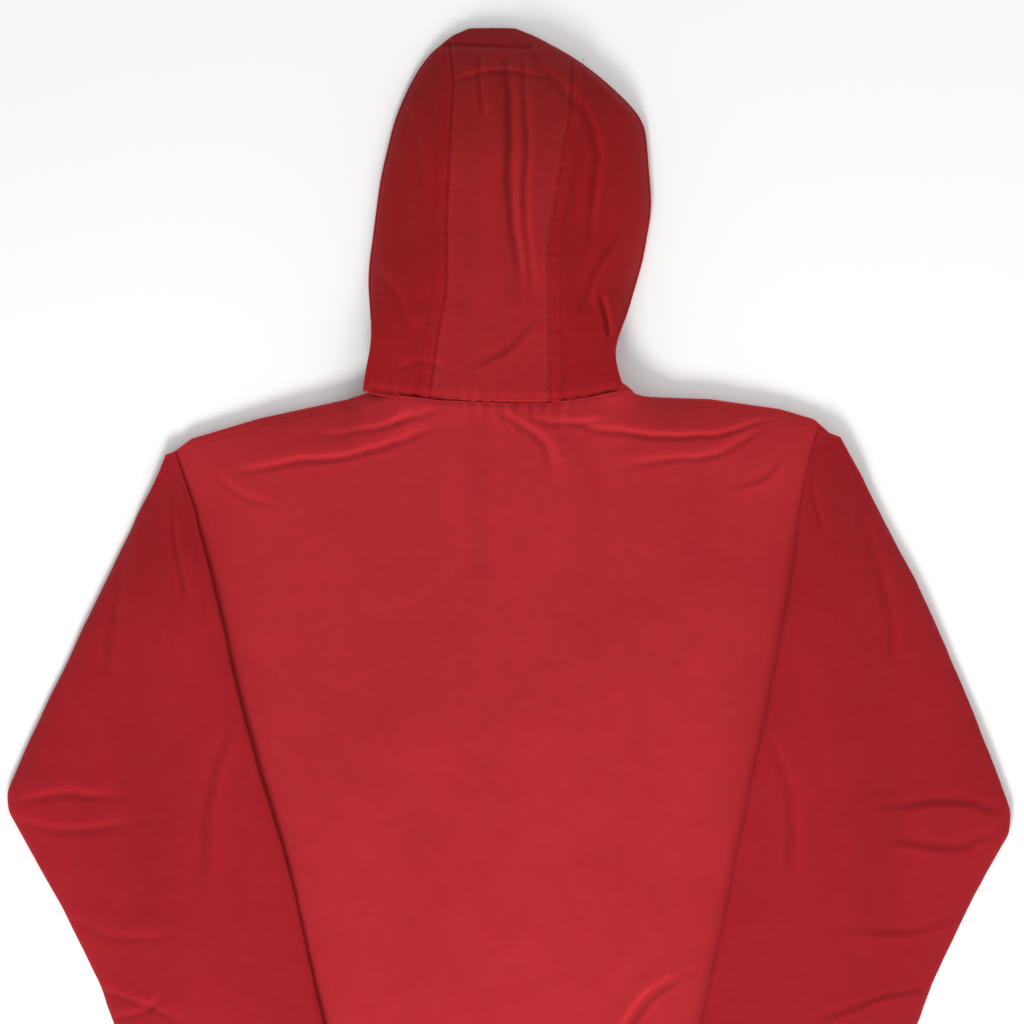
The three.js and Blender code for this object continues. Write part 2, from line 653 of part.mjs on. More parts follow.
function hoodCentre() {
  const surface = (u, v) => {
    const seamGap = (2 * SEAM) / HOOD_HALF_WIDTH;
    const footLeft = along(HOOD_LEFT_SEAM, 0) * HOOD_HALF_WIDTH;
    const footRight = along(HOOD_RIGHT_SEAM, 0) * HOOD_HALF_WIDTH;
    const foot = hoodFoot(mix(footLeft, footRight, u));
    const share = mix(foot, 1, v);
    const left = along(HOOD_LEFT_SEAM, share) + seamGap;
    const right = along(HOOD_RIGHT_SEAM, share) - seamGap;
    const x = mix(left, right, u) * HOOD_HALF_WIDTH;
    return new THREE.Vector3(x, hoodY(share), hoodZ(x, share));
  };
  add('hood_centre_panel', cloth(6, 12, surface, 0, -SHELL), DEEP_RED);
}

// From the seam over the side, round the fold and under it to the face opening
function hoodSide(side, sign, seamLine, edgeLine) {
  const round = 3;
  const surface = (u, v) => {
    const seamFoot = along(seamLine, 0) * HOOD_HALF_WIDTH;
    const edgeFoot = along(edgeLine, 0) * HOOD_HALF_WIDTH;
    const foot = hoodFoot(mix(seamFoot, edgeFoot, Math.min(1, u * 1.5)));
    const share = mix(foot, HOOD_SIDE_TOP, v);
    const seamX = along(seamLine, share) * HOOD_HALF_WIDTH + sign * GAP;
    const edgeX = along(edgeLine, share) * HOOD_HALF_WIDTH;
    const over = clamp01(u * 1.5);
    const under = clamp01((u - 5 / 6) * 6);
    const fold = clamp01((u - 2 / 3) * 6) * Math.PI;
    const flange = mix(2, HOOD_FLANGE, smooth((share - 0.27) / 0.1)) * under;
    const x = mix(seamX, edgeX, Math.sin((over * Math.PI) / 2));
    const z = hoodZ(x, share);
    const drop = Math.min(round, (along(HOOD_EDGE_LEVEL, share) - RIM_THICKNESS - SEAM) / 2);
    const sag = over < 1 ? 0 : drop * (1 - Math.cos(fold));
    const bulge = over < 1 ? 0 : drop * Math.sin(fold) * 0.8;
    return new THREE.Vector3(x + sign * (bulge - flange), hoodY(share), z - sag);
  };
  add(`hood_side_${side}`, cloth(12, 9, surface, 0, -sign * SHELL), DEEP_RED);
}

// The stiffened casing around the face opening, flat on the ground side
function hoodRim() {
  const outerLeft = (share) => along(HOOD_LEFT_EDGE, share) * HOOD_HALF_WIDTH + 12;
  const outerRight = (share) => along(HOOD_RIGHT_EDGE, share) * HOOD_HALF_WIDTH - 12;
  const low = 0.36;
  const shares = [low, 0.5, 0.64, 0.76, 0.86, 0.93];
  const leftOuter = shares.map((s) => [outerLeft(s), hoodY(s)]);
  const rightOuter = shares.map((s) => [outerRight(s), hoodY(s)]);
  const leftInner = shares.map((s) => [outerLeft(s) + RIM_WIDTH, hoodY(s) - (s > 0.8 ? RIM_WIDTH : 0)]);
  const rightInner = shares.map((s) => [outerRight(s) - RIM_WIDTH, hoodY(s) - (s > 0.8 ? RIM_WIDTH : 0)]);
  const outline = [...leftOuter, ...rightOuter.reverse(), ...rightInner, ...leftInner.reverse()];
  const shape = new THREE.Shape(outline.map(([x, y]) => new THREE.Vector2(x, y)));
  const casing = new THREE.ExtrudeGeometry(shape, { depth: RIM_THICKNESS, bevelEnabled: false });
  const spots = [
    ['left', outerLeft(low + 0.03) + RIM_WIDTH / 2],
    ['right', outerRight(low + 0.03) - RIM_WIDTH / 2],
  ];
  const y = hoodY(low + 0.03);
  const holes = spots.map(([, x]) => disc(x, y, -1, RIM_THICKNESS + 1, EYELET_OUTER + GAP));
  add('hood_rim_casing', cut(casing, ...holes), DEEP_RED);
  spots.forEach(([side, x]) => eyelet(`hood_eyelet_${side}`, x, y, 0, RIM_THICKNESS));
}

backPanel();
backLining();
for (const [side, sign] of [['left', -1], ['right', 1]]) {
  frontPanel(side, sign);
  frontLining(side, sign);
  pocket(side, sign);
  eyelet(`hem_eyelet_${side}`, sign * HEM_EYELET_X, HEM_Y + HEM_BAND / 2, FRONT_Z, FRONT_Z + BAND);
}
hemBand();
collar();
hangerLoop();
zip();
zipSlider();
zipPuller();
stormFlap();
for (const [side, sleeve] of Object.entries(SLEEVES)) {
  sleeves(side, sleeve);
  cuffTab(side, sleeve);
}
hoodCentre();
hoodSide('left', -1, HOOD_LEFT_SEAM, HOOD_LEFT_EDGE);
hoodSide('right', 1, HOOD_RIGHT_SEAM, HOOD_RIGHT_EDGE);
hoodRim();

export default group;
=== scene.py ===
"""A red foul weather jacket laid flat on its front, seen from straight above.

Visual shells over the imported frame."""

import math

import bpy
import numpy as np
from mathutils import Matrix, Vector


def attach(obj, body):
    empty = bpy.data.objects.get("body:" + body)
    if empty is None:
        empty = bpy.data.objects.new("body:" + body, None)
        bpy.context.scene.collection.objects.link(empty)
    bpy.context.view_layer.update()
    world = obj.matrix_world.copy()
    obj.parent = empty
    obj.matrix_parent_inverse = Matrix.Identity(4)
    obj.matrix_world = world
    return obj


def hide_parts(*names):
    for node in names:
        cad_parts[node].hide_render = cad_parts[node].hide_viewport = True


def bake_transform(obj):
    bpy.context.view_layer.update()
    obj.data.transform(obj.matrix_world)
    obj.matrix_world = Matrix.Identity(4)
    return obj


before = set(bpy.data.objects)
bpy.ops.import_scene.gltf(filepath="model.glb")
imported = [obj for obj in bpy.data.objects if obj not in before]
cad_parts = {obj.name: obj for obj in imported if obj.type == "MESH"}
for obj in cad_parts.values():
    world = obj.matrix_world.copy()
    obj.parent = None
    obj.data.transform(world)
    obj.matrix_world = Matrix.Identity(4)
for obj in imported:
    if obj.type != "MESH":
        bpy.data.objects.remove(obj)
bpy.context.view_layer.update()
MM = 0.001
SIDES = {"left": -1, "right": 1}

# ---- Sizes, in millimetres ----
# The body's are the frame's. Sleeve and hood outlines follow the photo, a few millimetres from the frame's.
HALF = 300.0  # half the width of the body
NECK_Y = 229.5
HEM_Y = -566.5
BAND_TOP = -528.5
LOFT_HEM, LOFT_CHEST, LOFT_NECK = 27.0, 38.0, 30.0
EDGE_Z = 12.0
FRONT_Z = 4.8
SIDE_RISE = 5.4
NECK_DROP = 62.0
NECK_HALF = 112.0
SHOULDER_X = HALF * np.array(
    [-1, -0.95, -0.75, -0.48, -0.42, -0.21, 0, 0.12, 0.24, 0.34, 0.4, 0.6, 0.81, 0.91, 0.95, 1])
SHOULDER_RISE = [-42, -31, -13, 4.5, 10.5, 2.5, 0, 0, 5.5, 12, 6.5, 4.5, -4.5, -13.5, -24, -42]

# Outer and inner fold edge of each sleeve, shoulder to cuff, paired station by station
SLEEVES = {
    "left": (
        [(-308, 184), (-320, 157), (-335, 128), (-362, 72), (-388, 18), (-414, -37), (-437, -85),
         (-451, -118), (-450, -136), (-430, -172), (-404, -217), (-369, -289), (-356, -325), (-322, -400)],
        [(-300, 187), (-291, 163), (-282, 134), (-266, 76), (-251, 14), (-240, -37), (-228, -78),
         (-218, -112), (-213, -128), (-202, -163), (-190, -212), (-174, -282), (-164, -325), (-151, -400)],
    ),
    "right": (
        [(296, 200), (312, 172), (335, 128), (365, 72), (389, 18), (413, -37), (437, -100),
         (451, -136), (449, -156), (437, -176), (415, -217), (380, -289), (367, -325), (331, -400)],
        [(277, 207), (267, 174), (260, 138), (251, 72), (241, 20), (230, -37), (217, -97),
         (210, -130), (206, -148), (201, -174), (193, -217), (178, -285), (169, -326), (157, -400)],
    ),
}

# Hood outline: height above the origin, x
HOOD_LEFT = [(240, -128), (247, -128), (288, -120), (342, -125), (378, -121), (432, -114), (486, -101),
             (522, -85), (544, -71), (558, -57), (567, -36)]
HOOD_RIGHT = [(240, 101), (247, 98), (270, 91), (283, 92), (306, 102), (360, 118), (405, 126), (470, 121),
              (487, 118), (522, 82), (544, 53), (558, 28), (567, 5)]
SEAM_LEFT = [(235, -71), (265, -67), (298, -62), (328, -56), (392, -56), (480, -52), (518, -50), (552, -54)]
SEAM_RIGHT = [(230, 36), (278, 35), (353, 34), (379, 36), (417, 42), (460, 49), (487, 54), (552, 56)]
HOOD_RIDGE = [(229, 43), (268, 48), (345, 62), (450, 60), (515, 44), (548, 26), (567, 9)]
HOOD_RIM_Z = [(229, 36), (292, 36), (335, 13), (366, 9), (520, 9), (567, 6)]
HOOD_TOP = 567.0
HOOD_FOOT = (-128, 101)  # x of the hood's two edges where it meets the neck
HOOD_FOLD_AT = 0.78  # share of the way from the hood's middle to its rim where the cloth turns under

# ---- Walls, clearances and shapes, in millimetres ----
BODY_WALL, BAND_WALL, LINING_WALL, COLLAR_WALL, CUFF_WALL, HOOD_WALL = 1.1, 2.0, 0.6, 2.2, 2.2, 1.1
LINING_INSET = 18.0
LINING_DROP = 5.5
COLLAR_HALF, COLLAR_TOP_HALF, COLLAR_RISE = 112, 88, 70
SLEEVE_LOFT = 27.0
SLEEVE_CLEAR = 1.4  # gap between a sleeve and what it lies on
SLEEVE_FLAT_EDGE = 0.4  # height of a sleeve's folded edge, as a share of its middle
CUFF_TOP, CUFF_LENGTH, CUFF_LOFT, CUFF_RIBS = -397, 35, 24, 46
OVAL_ACROSS, OVAL_UP = 0.75, 0.55  # powers that square off a sleeve's and a cuff's oval section
TEETH_PITCH = 2.9

# ---- Camera and floor, in metres ----
CAMERA_SPAN, CAMERA_HEIGHT = 0.9216, 3.0  # width seen at the floor, and the height above it
CAMERA_AT = (0.00225, 0.13275)
FLOOR_SIZE, FLOOR_Z = 12, -0.0006


def smooth(t):
    t = np.clip(t, 0, 1)
    return t * t * (3 - 2 * t)


def mix(a, b, t):
    return a + (b - a) * t


def at(stations, t, soften=14):
    """The value at t of a list of stations, with its corners rounded over a few millimetres."""
    xs, ys = zip(*stations)
    reach = np.minimum(soften, np.maximum(0, np.minimum(t - xs[0], xs[-1] - t)))
    return sum(np.interp(t + reach * k, xs, ys) for k in (-1, -0.6, -0.3, 0, 0.3, 0.6, 1)) / 7


# ---- Wrinkles ----


def noise_field(scale, seed, octaves=3):
    """A smooth random function of (x, y): value noise with features about scale mm wide, from -1 to 1."""
    cells = np.random.default_rng(seed).uniform(-1, 1, (64, 64))

    def sample(x, y):
        total, weight = 0, 0
        for k in range(octaves):
            u, v = x * 2**k / scale + 17.3 * k, y * 2**k / scale + 9.1 * k
            iu, iv = np.floor(u).astype(int), np.floor(v).astype(int)
            fu, fv = smooth(u - iu), smooth(v - iv)
            c = [[cells[(iu + a) % 64, (iv + b) % 64] for b in (0, 1)] for a in (0, 1)]
            value = mix(mix(c[0][0], c[1][0], fu), mix(c[0][1], c[1][1], fu), fv)
            total, weight = total + value * 0.5**k, weight + 0.5**k
        return total / weight

    return sample


BROAD, MIDDLE, FINE = noise_field(120, 1), noise_field(34, 2), noise_field(9, 3, 2)
WARP = noise_field(60, 4)


def line_distance(points, x, y):
    """(distance, signed side distance, how far along from 0 to 1) from a polyline."""
    best = np.full(np.shape(x), 1e9)
    side = np.zeros(np.shape(x))
    place = np.zeros(np.shape(x))
    count = len(points) - 1
    for i, ((ax, ay), (bx, by)) in enumerate(zip(points, points[1:])):
        dx, dy = bx - ax, by - ay
        t = np.clip(((x - ax) * dx + (y - ay) * dy) / (dx * dx + dy * dy), 0, 1)
        d = np.hypot(x - ax - t * dx, y - ay - t * dy)
        s = (dx * (y - ay) - dy * (x - ax)) / math.hypot(dx, dy)
        near = d < best
        best, side = np.where(near, d, best), np.where(near, s, side)
        place = np.where(near, (i + t) / count, place)
    return best, side, place


def rounded(points):
    """The same line with its corners cut off twice over."""
    points = np.asarray(points, float)
    for _ in range(2):
        cut = np.stack([0.75 * points[:-1] + 0.25 * points[1:], 0.25 * points[:-1] + 0.75 * points[1:]], 1)
        points = np.concatenate([points[:1], cut.reshape(-1, 2), points[-1:]])
    return points


def crease(points, height, width, x, y):
    """A fold that rises gently on one side of the line, drops steeply on the other and fades at its ends."""
    warped_x, warped_y = x + 2.5 * WARP(x * 1.6, y * 1.6), y + 2.5 * WARP(y * 1.6, x * 1.6)
    d, side, place = line_distance(rounded(points), warped_x, warped_y)
    fade = np.sin(np.pi * np.clip(place * 0.94 + 0.03, 0, 1)) ** 0.6
    steep = max(3.2, 0.4 * width)
    shelf = np.where(side > 0, np.exp(-((side / (1.6 * width)) ** 2)), np.exp(-((side / steep) ** 2)))
    tuck = 0.6 * np.exp(-(((side + 1.3 * steep) / steep) ** 2))
    return 0.95 * height * fade * (shelf - tuck) * np.exp(-np.maximum(0, d - np.abs(side)) / width)


def groove(points, depth, width, x, y):
    """A soft hollow along the line."""
    d, _, place = line_distance(points, x, y)
    return -depth * np.exp(-((d / width) ** 2))


BACK_CREASES = [
    ([(-240, 172), (-205, 178), (-162, 184), (-117, 191), (-72, 209)], 2.6, 9),
    ([(-170, 205), (-128, 208), (-90, 218), (-66, 226)], 1.6, 7),
    ([(-107, 214), (-85, 224)], 1.2, 5),
    ([(60, 214), (82, 208), (118, 204), (155, 202), (191, 206), (228, 217)], 2.6, 8),
    ([(112, 178), (140, 182), (181, 185), (221, 206)], 1.9, 9),
    ([(-6, 224), (13, 211), (31, 200), (38, 188), (40, 176)], 2.2, 6),
    ([(20, 219), (48, 212), (84, 218)], 1.5, 5),
    ([(86, -345), (98, -328), (114, -307), (128, -291), (149, -279)], 2.8, 7),
    ([(-262, 166), (-240, 150), (-212, 143)], 1.3, 7),
    ([(246, 176), (232, 158), (205, 150)], 1.2, 7),
]
BACK_HOLLOWS = [
    ([(-27, 205), (-30, 160), (-26, 90)], 2.0, 16),
    ([(66, 196), (72, 150), (60, 80)], 1.8, 18),
    ([(-118, 30), (-90, -80), (-96, -190)], 1.0, 34),
    ([(110, 60), (128, -60), (118, -180)], 1.0, 34),
]


def back_wrinkles(x, y):
    value = 2.2 * BROAD(x, y) + 0.5 * MIDDLE(x, y) + 0.12 * FINE(x, y)
    for points, height, width in BACK_CREASES:
        value = value + crease(points, height, width, x, y)
    for points, depth, width in BACK_HOLLOWS:
        value = value + groove(points, depth, width, x, y)
    below_neck = shoulder_y(x) - y
    by_neck = np.exp(-below_neck / 12) * smooth((72 - np.abs(x - 12)) / 40)
    gathers = np.cos(x * 0.5 + 5 * WARP(x * 1.4, y)) * by_neck
    hem = np.exp(-(((y - BAND_TOP) / 2.2) ** 2)) * -1.3
    gathered = 1.4 * np.sin(x * 0.21 + 2 * WARP(x, y)) * np.exp(-np.abs(y - BAND_TOP) / 26)
    seam = -1.6 * np.exp(-((below_neck / 4) ** 2)) * smooth((120 - np.abs(x + 12)) / 12)
    return value + 1.1 * gathers + hem + gathered + seam


# ---- Body surfaces ----


def shoulder_y(x):
    return NECK_Y + np.interp(x, SHOULDER_X, SHOULDER_RISE)


def body_loft(y):
    """How high the back stands above its edges, at its middle."""
    low = mix(LOFT_HEM, LOFT_CHEST, smooth((y - HEM_Y) / -HEM_Y))
    high = mix(LOFT_CHEST, LOFT_NECK, smooth(y / NECK_Y))
    return np.where(y < 0, low, high)


def back_z(x, y):
    share = np.minimum(1, np.abs(x) / HALF)
    inside = np.clip((shoulder_y(x) - y) / 60, 0, 1)
    rolled = (1 - (1 - inside) ** 2) ** 0.6
    neck = 1 - smooth((np.abs(x) - 85) / 65)
    return EDGE_Z + body_loft(y) * (1 - share**2) ** 0.7 * mix(rolled, 1, neck)


def front_z(x, y):
    side = smooth((np.abs(x) - HALF + 50) / 50)
    shoulder = smooth(1 - (shoulder_y(x) - y) / 45) * smooth((np.abs(x) - NECK_HALF + 15) / 30)
    return FRONT_Z + SIDE_RISE * np.maximum(side, shoulder)


def front_neck_y(x):
    return shoulder_y(x) - NECK_DROP * np.sqrt(np.clip(1 - (x / NECK_HALF) ** 2, 0, 1))


# ---- Meshes ----


def mesh_piece(name, points, faces, materials, body=None, slots=None):
    mesh = bpy.data.meshes.new(name)
    mesh.from_pydata((np.asarray(points) * MM).tolist(), [], [tuple(f) for f in faces])
    mesh.validate()
    for polygon in mesh.polygons:
        polygon.use_smooth = True
    piece = bpy.data.objects.new(name, mesh)
    bpy.context.scene.collection.objects.link(piece)
    for material in materials:
        mesh.materials.append(material)
    if slots is not None:
        mesh.polygons.foreach_set("material_index", slots)
    if body:
        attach(piece, body)
    return piece


def normals(grid, wraps):
    if wraps:
        du = np.roll(grid, -1, 0) - np.roll(grid, 1, 0)
    else:
        du = np.gradient(grid, axis=0)
    n = np.cross(du, np.gradient(grid, axis=1))
    return n / np.maximum(np.linalg.norm(n, axis=2, keepdims=True), 1e-9)


def shell(name, grid, wall, outside, inside, body=None, wraps=False, own=0):
    """A closed cloth wall from its outer face, a grid of points.

    Outer and inner layers are joined round the edges.
    The first own rows of the inner layer show the outer cloth.
    """
    nu, nv, _ = grid.shape
    inner = grid - normals(grid, wraps) * (wall[None, :, None] if isinstance(wall, np.ndarray) else wall)
    points = np.concatenate([grid.reshape(-1, 3), inner.reshape(-1, 3)])
    half = nu * nv
    rows = np.arange(nu if wraps else nu - 1)
    a = (rows[:, None] * nv + np.arange(nv - 1)).ravel()
    b = (((rows + 1) % nu)[:, None] * nv + np.arange(nv - 1)).ravel()
    outer_faces = np.stack([a, b, b + 1, a + 1], 1)
    inner_faces = outer_faces[:, ::-1] + half
    rims = []
    for column, turn in ((0, 1), (nv - 1, -1)):
        p, q = rows * nv + column, ((rows + 1) % nu) * nv + column
        rims.append(np.stack([p, p + half, q + half, q], 1)[:, ::turn])
    if not wraps:
        for row, turn in ((0, -1), (nu - 1, 1)):
            p = row * nv + np.arange(nv - 1)
            rims.append(np.stack([p, p + half, p + 1 + half, p + 1], 1)[:, ::turn])
    faces = np.concatenate([outer_faces, inner_faces, *rims])
    slots = np.zeros(len(faces), int)
    slots[len(outer_faces): 2 * len(outer_faces)] = np.tile(np.arange(nv - 1) >= own, len(rows))
    return mesh_piece(name, points, faces.tolist(), [outside, inside], body, slots.tolist())


def stitches(name, path, lift, material, body, length=2.6, pitch=4.0, radius=0.34):
    """Separate short threads along a path of points, each an elongated eight-sided bead."""
    path = np.asarray(path, float)
    steps = np.linalg.norm(np.diff(path, axis=0), axis=1)
    run = np.concatenate([[0], np.cumsum(steps)])
    places = np.arange(pitch / 2, run[-1], pitch)
    points, faces = [], []
    for s in places:
        ends = [np.array([np.interp(s + d * length / 2, run, path[:, k]) for k in range(3)]) for d in (-1, 1)]
        middle, along = (ends[0] + ends[1]) / 2, ends[1] - ends[0]
        along = along / max(1e-6, np.linalg.norm(along))
        side = np.cross(along, [0, 0, 1.0])
        side /= max(1e-6, np.linalg.norm(side))
        up = np.cross(side, along) * lift
        base = len(points)
        points += [ends[0], ends[1], middle + side * radius, middle - side * radius]
        points += [middle + up * radius * 1.2, middle - up * radius]
        for p, q in ((2, 4), (4, 3), (3, 5), (5, 2)):
            faces += [(base, base + p, base + q), (base + 1, base + q, base + p)]
    return mesh_piece(name, points, faces, [material], body)


# ---- Materials ----


def cloth_material(name, base, deep, bump=0.25, roughness=0.82, sheen=0.08, grain=1.0, painted_shading=None):
    """Woven cloth: patchy tone, painted highlight on ridges and painted shade in folds, thread grain and
    small creases in the bump.
    """
    material = bpy.data.materials.new(name)
    material.use_nodes = True
    tree = material.node_tree
    nodes, link = tree.nodes, tree.links.new
    shader = nodes["Principled BSDF"]
    shader.inputs["Sheen Weight"].default_value = sheen
    shader.inputs["Sheen Roughness"].default_value = 0.5
    shader.inputs["Sheen Tint"].default_value = (1.0, 0.45, 0.45, 1)
    shader.inputs["Specular IOR Level"].default_value = 0.12
    place = nodes.new("ShaderNodeTexCoord")

    def noise(scale, detail=3.0, rough=0.5):
        n = nodes.new("ShaderNodeTexNoise")
        n.inputs["Scale"].default_value = scale
        n.inputs["Detail"].default_value = detail
        n.inputs["Roughness"].default_value = rough
        link(place.outputs["Object"], n.inputs["Vector"])
        return n.outputs["Fac"]

    def math_node(kind, a, b):
        n = nodes.new("ShaderNodeMath")
        n.operation = kind
        for socket, value in zip(n.inputs, (a, b)):
            if isinstance(value, (int, float)):
                socket.default_value = value
            else:
                link(value, socket)
        return n.outputs[0]

    def weave(direction):
        w = nodes.new("ShaderNodeTexWave")
        w.wave_type, w.bands_direction = "BANDS", direction
        w.inputs["Scale"].default_value = 260
        w.inputs["Distortion"].default_value = 1.5
        w.inputs["Detail Scale"].default_value = 2.0
        link(place.outputs["Object"], w.inputs["Vector"])
        return w.outputs["Fac"]

    tone = nodes.new("ShaderNodeValToRGB")
    low, high = tone.color_ramp.elements
    low.position, high.position = 0.3, 0.68
    low.color, high.color = (*deep, 1), (*base, 1)
    patches = math_node("MULTIPLY", noise(9, 5, 0.6), 0.7)
    threads = math_node("MULTIPLY", noise(1400, 2, 0.7), 0.3)
    link(math_node("ADD", patches, threads), tone.inputs["Fac"])

    # Painted shade and highlight: the colour is darkened in concave folds and lightened on ridges, from the
    # mesh's pointiness.
    edge = nodes.new("ShaderNodeNewGeometry")
    fold_shade = nodes.new("ShaderNodeMapRange")
    fold_shade.inputs["From Min"].default_value, fold_shade.inputs["From Max"].default_value = 0.465, 0.535
    fold_shade.inputs["To Min"].default_value, fold_shade.inputs["To Max"].default_value = 0.5, 1.16
    link(edge.outputs["Pointiness"], fold_shade.inputs["Value"])
    fold_shaded = nodes.new("ShaderNodeMix")
    fold_shaded.data_type, fold_shaded.blend_type = "RGBA", "MULTIPLY"
    fold_shaded.inputs[0].default_value = 1.0
    link(tone.outputs["Color"], fold_shaded.inputs[6])
    link(fold_shade.outputs["Result"], fold_shaded.inputs[7])
    # Painted light and shade: the colour is made lighter or darker along the height in y.
    if painted_shading:
        split = nodes.new("ShaderNodeSeparateXYZ")
        link(place.outputs["Object"], split.inputs[0])
        fade = nodes.new("ShaderNodeMapRange")
        fade.interpolation_type = "SMOOTHSTEP"
        fade.inputs["From Min"].default_value, fade.inputs["From Max"].default_value = painted_shading[0], painted_shading[1]
        fade.inputs["To Min"].default_value, fade.inputs["To Max"].default_value = 1.0, painted_shading[2]
        link(split.outputs["Y"], fade.inputs["Value"])
        shaded = nodes.new("ShaderNodeMix")
        shaded.data_type, shaded.blend_type = "RGBA", "MULTIPLY"
        shaded.inputs[0].default_value = 1.0
        link(fold_shaded.outputs[2], shaded.inputs[6])
        link(fade.outputs["Result"], shaded.inputs[7])
        link(shaded.outputs[2], shader.inputs["Base Color"])
    else:
        link(fold_shaded.outputs[2], shader.inputs["Base Color"])

    rough = nodes.new("ShaderNodeMapRange")
    rough.inputs["To Min"].default_value = roughness - 0.1
    rough.inputs["To Max"].default_value = roughness + 0.1
    link(noise(40, 3), rough.inputs["Value"])
    link(rough.outputs["Result"], shader.inputs["Roughness"])

    threads_high = math_node("ADD", weave("X"), weave("Y"))
    height = math_node("ADD", math_node("MULTIPLY", threads_high, 0.1 * grain),
                       math_node("MULTIPLY", noise(520, 2, 0.6), 0.5 * grain))
    height = math_node("ADD", height, math_node("MULTIPLY", noise(95, 3, 0.55), 1.1))
    relief = nodes.new("ShaderNodeBump")
    relief.inputs["Strength"].default_value = bump
    relief.inputs["Distance"].default_value = 0.0012
    link(height, relief.inputs["Height"])
    link(relief.outputs["Normal"], shader.inputs["Normal"])
    return material


def hard_material(name, base, metallic, roughness):
    """Moulded or cast trim: fine speckled tone and gloss."""
    material = bpy.data.materials.new(name)
    material.use_nodes = True
    tree = material.node_tree
    nodes, link = tree.nodes, tree.links.new
    shader = nodes["Principled BSDF"]
    shader.inputs["Metallic"].default_value = metallic
    place = nodes.new("ShaderNodeTexCoord")
    speck = nodes.new("ShaderNodeTexNoise")
    speck.inputs["Scale"].default_value = 700
    link(place.outputs["Object"], speck.inputs["Vector"])
    tone = nodes.new("ShaderNodeValToRGB")
    tone.color_ramp.elements[0].color = (*[c * 0.75 for c in base], 1)
    tone.color_ramp.elements[1].color = (*base, 1)
    link(speck.outputs["Fac"], tone.inputs["Fac"])
    link(tone.outputs["Color"], shader.inputs["Base Color"])
    rough = nodes.new("ShaderNodeMapRange")
    rough.inputs["To Min"].default_value = roughness - 0.08
    rough.inputs["To Max"].default_value = roughness + 0.12
    link(speck.outputs["Fac"], rough.inputs["Value"])
    link(rough.outputs["Result"], shader.inputs["Roughness"])
    relief = nodes.new("ShaderNodeBump")
    relief.inputs["Strength"].default_value = 0.08
    relief.inputs["Distance"].default_value = 0.0003
    link(speck.outputs["Fac"], relief.inputs["Height"])
    link(relief.outputs["Normal"], shader.inputs["Normal"])
    return material


# The last argument paints light and shade along each cloth: the height in metres where its tone starts and
# ends its change, and the tone it reaches
SHELL = cloth_material("shell_cloth", (0.47, 0.0205, 0.0265), (0.405, 0.0155, 0.0205),
                       painted_shading=(-0.05, 0.26, 1.07))
# Painted shade: the sleeves' cloth is the shell's fabric made darker, for the shade on their sloping faces.
SLEEVE_SHADED = cloth_material("sleeve_shaded_cloth", (0.385, 0.0105, 0.018), (0.325, 0.008, 0.014))
# Painted shade: the hood's cloth is the shell's fabric made darker, for the shade that falls on the hood.
HOOD_SHADED = cloth_material("hood_shaded_cloth", (0.40, 0.0145, 0.018), (0.335, 0.011, 0.013), bump=0.35,
                      painted_shading=(0.40, 0.56, 0.72))
# Painted shade: the hood's side panels get a darker copy of the same cloth, for the shade at the hood's
# sides.
HOOD_SIDE_SHADED = cloth_material("hood_side_shaded_cloth", (0.345, 0.0075, 0.0115), (0.29, 0.0055, 0.0085), bump=0.35,
                           painted_shading=(0.40, 0.56, 0.85))
LINING = cloth_material("lining_cloth", (0.035, 0.037, 0.042), (0.022, 0.023, 0.027), 0.15, 0.6, 0.05)
THREAD = cloth_material("thread", (0.36, 0.012, 0.017), (0.29, 0.01, 0.013), 0.1, 0.7, 0.05)
TAPE = cloth_material("zip_tape_cloth", (0.02, 0.02, 0.022), (0.012, 0.012, 0.014), 0.5, 0.8, 0.05, 2.0)
PATCH = cloth_material("hook_and_loop", (0.03, 0.03, 0.033), (0.015, 0.015, 0.017), 1.0, 0.95, 0.3, 4.0)
METAL = hard_material("cast_metal", (0.62, 0.63, 0.65), 1.0, 0.3)
TEETH = hard_material("moulded_teeth", (0.02, 0.02, 0.023), 0.0, 0.42)


# ---- Camera, light and floor ----


def studio():
    camera = bpy.data.objects.new("camera", bpy.data.cameras.new("camera"))
    bpy.context.scene.collection.objects.link(camera)
    camera.location = (*CAMERA_AT, CAMERA_HEIGHT)
    camera.data.angle = 2 * math.atan(CAMERA_SPAN / 2 / CAMERA_HEIGHT)
    bpy.context.scene.camera = camera
    bpy.context.scene.view_settings.view_transform = "Standard"

    bpy.ops.mesh.primitive_plane_add(size=FLOOR_SIZE, location=(0, 0, FLOOR_Z))
    floor = bpy.context.object
    floor.name = "floor"
    pale = bpy.data.materials.new("floor_paper")
    pale.use_nodes = True
    surface = pale.node_tree.nodes["Principled BSDF"]
    surface.inputs["Base Color"].default_value = (0.93, 0.93, 0.93, 1)
    surface.inputs["Roughness"].default_value = 0.9
    floor.data.materials.append(pale)

    def lamp(name, location, size, power):
        light = bpy.data.lights.new(name, "AREA")
        light.size, light.energy = size, power
        holder = bpy.data.objects.new(name, light)
        holder.location = location
        holder.rotation_euler = (-Vector(location)).to_track_quat("-Z", "Y").to_euler()
        bpy.context.scene.collection.objects.link(holder)

    lamp("key", (-0.35, -1.7, 1.6), 0.7, 40)
    lamp("fill", (1.6, 0.6, 2.2), 2.0, 12)
    world = bpy.data.worlds.new("studio")
    bpy.context.scene.world = world
    world.use_nodes = True
    world.node_tree.nodes["Background"].inputs["Color"].default_value = (1, 1, 1, 1)
    world.node_tree.nodes["Background"].inputs["Strength"].default_value = 0.62


# ---- Body ----


